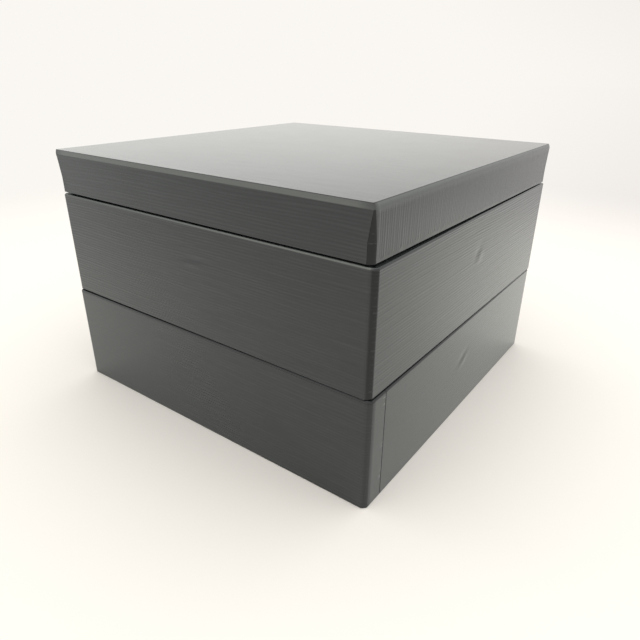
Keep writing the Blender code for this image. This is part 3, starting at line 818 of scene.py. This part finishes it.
# Laminated black kraft paper, run through a roller that presses a wood grain into it. The print is
# nearly black; what the eye gets is the satin film's gloss, broken by fine fibres along the grain.
# Turned edges are painted grey as a painted highlight, and upright corners are painted the deepest
# black as painted shade.
embossedFinish = {
    # the pale grey is a painted highlight for turned edges; the near-black tight colour is painted
    # shade for upright corners, seam edges and a line below the rim
    "dark": "#222323", "light": "#3f4040", "paintedHighlight": "#8a8a86", "tight": "#050506",
    "roughness": (0.23, 0.09), "glossSpan": (0.2, 0.75), "refraction": 1.35,
    "stretch": 0.8, "stretchTurn": 0.25,        # the gloss spreads across the grain
    "film": 1.0, "filmRefraction": 1.25, "filmRoughness": 0.08, "filmTint": "#f3f9fb",
    "fibreLength": 9.0, "fibreWidth": 0.35, "fibreDepth": 0.005,
    "poreLength": 2.2, "poreWidth": 0.22, "poreDepth": 0.003, "poreSpan": (0.55, 0.72),
    "cloudScale": 38.0, "cloudShare": 0.5, "reliefShare": 0.6,
}


def newMaterial(name):
    material = bpy.data.materials.new(name)
    material.use_nodes = True
    return material, material.node_tree, material.node_tree.nodes["Principled BSDF"]


def embossedPaper(name, finish):
    material, tree, shader = newMaterial(name)
    alongGrain = addNode(tree, "ShaderNodeTangent", {"direction_type": "UV_MAP", "uv_map": "paper"})[0]
    placed = addNode(tree, "ShaderNodeUVMap", {"uv_map": "paper"})[0]
    paintedTone = addNode(tree, "ShaderNodeAttribute", {"attribute_name": "paintedLightMask"})["Fac"]
    relief = addNode(tree, "ShaderNodeAttribute", {"attribute_name": "grainRelief"})["Fac"]
    # fibres are long and thin along the grain, and pores are short dashes
    fine = {}
    for name, detail, roughness in (("fibre", 3.0, 0.6), ("pore", 1.0, 0.5)):
        scale = (metre / finish[name + "Length"], metre / finish[name + "Width"], 1.0)
        where = addNode(tree, "ShaderNodeVectorMath", multiply, [placed, scale])[0]
        fine[name] = addNode(tree, noiseNode, None, {
            "Vector": where, "Scale": 1.0, "Detail": detail, "Roughness": roughness})[0]
    pores = addNode(tree, rangeNode, smooth, [fine["pore"], *finish["poreSpan"]])[0]
    # broad clouding of the film, a few centimetres across
    clouds = addNode(tree, noiseNode, None, {
        "Vector": placed, "Scale": finish["cloudScale"], "Detail": 3.0, "Roughness": 0.55})[0]
    # the ridges are burnished by the roller, and the hollows between them stay duller
    worked = addNode(tree, mixNode, numbers, [finish["cloudShare"], None, fine["fibre"], clouds])[0]
    tone = addNode(tree, mixNode, numbers, [finish["reliefShare"], None, worked, relief])[0]
    # the painted tone: above 0 it mixes in the painted highlight, below 0 the painted shade
    paintedShadeShare = addNode(tree, mathNode, {"operation": "MULTIPLY", "use_clamp": True},
                        [paintedTone, -1.0])[0]
    colour = fromHex(finish["dark"])
    for share, shade in ((tone, "light"), (paintedTone, "paintedHighlight"), (paintedShadeShare, "tight")):
        inputs = {0: share, 6: colour, 7: fromHex(finish[shade])}
        colour = addNode(tree, mixNode, colours, inputs)[2]
    gloss = addNode(tree, rangeNode, None, [tone, *finish["glossSpan"], *finish["roughness"]])[0]
    relieved = None
    for name, height, invert in (("fibre", fine["fibre"], False), ("pore", pores, True)):
        relieved = addNode(tree, "ShaderNodeBump", {"invert": invert}, {
            "Strength": 1.0, "Distance": finish[name + "Depth"] * millimetre, "Height": height,
            "Normal": relieved})[0]
    setInputs(tree, shader, {
        "Base Color": colour, "Roughness": gloss, "Normal": relieved, "Tangent": alongGrain,
        "IOR": finish["refraction"], "Coat Weight": finish["film"],
        "Coat IOR": finish["filmRefraction"], "Coat Roughness": finish["filmRoughness"],
        "Coat Tint": fromHex(finish["filmTint"]), "Anisotropic": finish["stretch"],
        "Anisotropic Rotation": finish["stretchTurn"],
    })
    return material


# Plain black paper inside: uncoated and matt, with a felted surface that shows close to.
liningFinish = {
    "dark": "#1a1a1a", "light": "#242423", "roughness": (0.72, 0.84), "felt": 0.5, "depth": 0.02,
}

# Grey board: pulped waste paper, so its grey is flecked, and it shows its plies along a cut edge.
boardFinish = {
    "dark": "#8a8378", "light": "#a59d8f", "roughness": (0.86, 0.98), "felt": 0.9, "depth": 0.05,
}

# Gummed kraft tape: brown, faintly ribbed by the paper machine, with a slight sheen.
tapeFinish = {
    "dark": "#9a7345", "light": "#b98d5c", "roughness": (0.64, 0.76), "felt": 0.6, "depth": 0.03,
}

# What the three plain sheets have in common
plainTexture = {
    "refraction": 1.48, "fleckScale": 420.0, "fleckShare": 0.2, "cloudScale": 45.0, "cloudShare": 0.4,
    "glossSpan": (0.3, 0.7),
}


def plainSheet(name, finish):
    material, tree, shader = newMaterial(name)
    where = addNode(tree, "ShaderNodeTexCoord")["Object"]
    felt = addNode(tree, noiseNode, None, {
        "Vector": where, "Scale": metre / finish["felt"], "Detail": 4.0, "Roughness": 0.65})[0]
    flecks = addNode(tree, "ShaderNodeTexVoronoi", {"feature": "F1"},
                     {"Vector": where, "Scale": plainTexture["fleckScale"]})["Distance"]
    clouds = addNode(tree, noiseNode, None,
                     {"Vector": where, "Scale": plainTexture["cloudScale"], "Detail": 2.0})[0]
    mixed = addNode(tree, mixNode, numbers, [plainTexture["cloudShare"], None, felt, clouds])[0]
    tone = addNode(tree, mixNode, numbers, [plainTexture["fleckShare"], None, mixed, flecks])[0]
    colour = addNode(tree, mixNode, colours,
                     {0: tone, 6: fromHex(finish["dark"]), 7: fromHex(finish["light"])})[2]
    gloss = addNode(tree, rangeNode, None, [felt, *plainTexture["glossSpan"], *finish["roughness"]])[0]
    bump = addNode(tree, "ShaderNodeBump", None,
                   {"Strength": 1.0, "Distance": finish["depth"] * millimetre, "Height": felt})[0]
    setInputs(tree, shader, {"Base Color": colour, "Roughness": gloss, "Normal": bump,
                             "IOR": plainTexture["refraction"]})
    return material


print("making the papers, the board and the tape")
embossed = embossedPaper("embossedBlackPaper", embossedFinish)
lining = plainSheet("plainBlackPaper", liningFinish)
board = plainSheet("greyBoard", boardFinish)
tape = plainSheet("kraftStayTape", tapeFinish)

# The CAD nodes that stay get their finish by what they are
for name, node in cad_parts.items():
    finish = lining
    if name.endswith("_board"):
        finish = board
    if "tape" in name or "stay" in name:
        finish = tape
    for materialSlot in node.material_slots:
        materialSlot.material = finish

print("building the wraps")
grainTree = buildGrainTree(grainWaves)
for looks in (lowerWrapLooks, upperWrapLooks):
    wrap = pressGrain(buildTierWrap(tierPaper, looks), grainTree, looks["grain"], embossed)
    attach(wrap, looks["body"])
    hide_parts(looks["node"])
    print(looks["name"], len(wrap.data.polygons), "faces")

lidWrap = pressGrain(buildLidWrap(lidPaper), grainTree, lidPaper["grain"], embossed)
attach(lidWrap, lidPaper["body"])
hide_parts(lidPaper["node"])
print("lidWrap", len(lidWrap.data.polygons), "faces")

# The backdrop has a duller part behind the box, to its right (x of the direction looked in). That part
# leans to the left higher up, and is fainter where it is seen directly.
studio = {
    "floorColour": "#f6f3ee", "floorRoughness": 0.6, "floorSheen": 0.1, "floorSize": 12.0,
    "fadeStart": 0.25, "fadeEnd": 0.7,
    "skyColour": "#faf7f2", "skyDull": "#e2dbd8", "dullAt": 0.22, "dullReach": 0.6, "dullLean": 1.4,
    "dullBehind": 0.5, "dullSeen": 0.45, "skyLight": 1.0,
    "overheadPower": 22.0, "overheadSize": 2.6, "overheadPlace": (0.1, 0.15, 2.2),
    "overheadTarget": (0.0, 0.0, 0.06),
}


def skyColour(tree, direction):
    apart = addNode(tree, "ShaderNodeSeparateXYZ", None, [direction])
    height = addNode(tree, "ShaderNodeClamp", None, [apart[2], 0.0, 1.0])[0]
    leaned = addNode(tree, mathNode, {"operation": "MULTIPLY_ADD"},
                     [height, studio["dullLean"], apart[0]])[0]
    off = addNode(tree, mathNode, subtract, [leaned, studio["dullAt"]])[0]
    away = addNode(tree, mathNode, {"operation": "ABSOLUTE"}, [off])[0]
    near = addNode(tree, rangeNode, smooth, [away, 0.0, studio["dullReach"], 1.0, 0.0])[0]
    behind = addNode(tree, rangeNode, smooth, [apart[1], 0.0, studio["dullBehind"]])[0]
    seen = addNode(tree, "ShaderNodeLightPath")["Is Camera Ray"]
    strong = addNode(tree, rangeNode, None, [seen, 0.0, 1.0, 1.0, studio["dullSeen"]])[0]
    placed = addNode(tree, mathNode, multiply, [near, behind])[0]
    dull = addNode(tree, mathNode, multiply, [placed, strong])[0]
    return addNode(tree, mixNode, colours,
                   {0: dull, 6: fromHex(studio["skyColour"]), 7: fromHex(studio["skyDull"])})[2]


# 1 where a thing is seen directly, mirrored or through glass, and 0 where it only gives light
def seenShare(tree):
    path = addNode(tree, "ShaderNodeLightPath")
    direct = addNode(tree, mathNode, maximum, [path["Is Camera Ray"], path["Is Glossy Ray"]])[0]
    return addNode(tree, mathNode, maximum, [direct, path["Is Transmission Ray"]])[0]


def buildFloor():
    half = studio["floorSize"] / 2
    mesh = bpy.data.meshes.new("floor")
    corners = [(-half, -half, 0), (half, -half, 0), (half, half, 0), (-half, half, 0)]
    mesh.from_pydata(corners, [], [(0, 1, 2, 3)])
    floor = newObject("floor", mesh)
    material, tree, shader = newMaterial("studioFloor")
    setInputs(tree, shader, {
        "Base Color": fromHex(studio["floorColour"]),
        "Roughness": studio["floorRoughness"],
        "Specular IOR Level": studio["floorSheen"],
    })
    # away from the box the floor runs into the backdrop without a line
    where = addNode(tree, "ShaderNodeTexCoord")["Object"]
    away = addNode(tree, "ShaderNodeVectorMath", {"operation": "LENGTH"}, [where])["Value"]
    fade = addNode(tree, rangeNode, smooth, [away, studio["fadeStart"], studio["fadeEnd"]])[0]
    share = addNode(tree, mathNode, multiply, [seenShare(tree), fade])[0]
    outwards = addNode(tree, "ShaderNodeVectorMath", {"operation": "NORMALIZE"}, [where])[0]
    backdrop = addNode(tree, "ShaderNodeEmission", None,
                       {"Color": skyColour(tree, outwards), "Strength": 1.0})[0]
    mixed = addNode(tree, "ShaderNodeMixShader", None, [share, shader.outputs[0], backdrop])[0]
    setInputs(tree, tree.nodes["Material Output"], {"Surface": mixed})
    mesh.materials.append(material)


def buildSky():
    world = bpy.data.worlds.new("studioSky")
    world.use_nodes = True
    tree = world.node_tree
    tree.nodes.clear()
    seen = seenShare(tree)
    strength = addNode(tree, mixNode, numbers, [seen, None, studio["skyLight"], 1.0])[0]
    direction = addNode(tree, "ShaderNodeTexCoord")["Generated"]
    sky = addNode(tree, "ShaderNodeBackground", None,
                  {"Color": skyColour(tree, direction), "Strength": strength})[0]
    addNode(tree, "ShaderNodeOutputWorld", None, {"Surface": sky})
    bpy.context.scene.world = world


def buildLamp():
    lamp = bpy.data.lights.new("overhead", "AREA")
    lamp.shape = "SQUARE"
    lamp.size = studio["overheadSize"]
    lamp.energy = studio["overheadPower"]
    overhead = newObject("overhead", lamp)
    overhead.location = studio["overheadPlace"]
    toBox = Vector(studio["overheadTarget"]) - overhead.location
    overhead.rotation_euler = toBox.to_track_quat("-Z", "Y").to_euler()


# Worked out from the photograph's edges
viewpoint = {
    "place": (0.18492, -0.25110, 0.17146), "turn": (64.941, -0.473, 36.247), "lens": 30.661,
    "sensor": 36.0, "clip": (0.01, 50.0),
}


def buildCamera():
    camera = bpy.data.cameras.new("viewpoint")
    camera.sensor_width = viewpoint["sensor"]
    camera.sensor_fit = "HORIZONTAL"
    camera.lens = viewpoint["lens"]
    camera.clip_start, camera.clip_end = viewpoint["clip"]
    holder = newObject("viewpoint", camera)
    holder.location = viewpoint["place"]
    holder.rotation_euler = [math.radians(angle) for angle in viewpoint["turn"]]
    bpy.context.scene.camera = holder


print("setting the floor, light and camera")
buildFloor()
buildSky()
buildLamp()
buildCamera()
bpy.context.scene.view_settings.view_transform = "Standard"
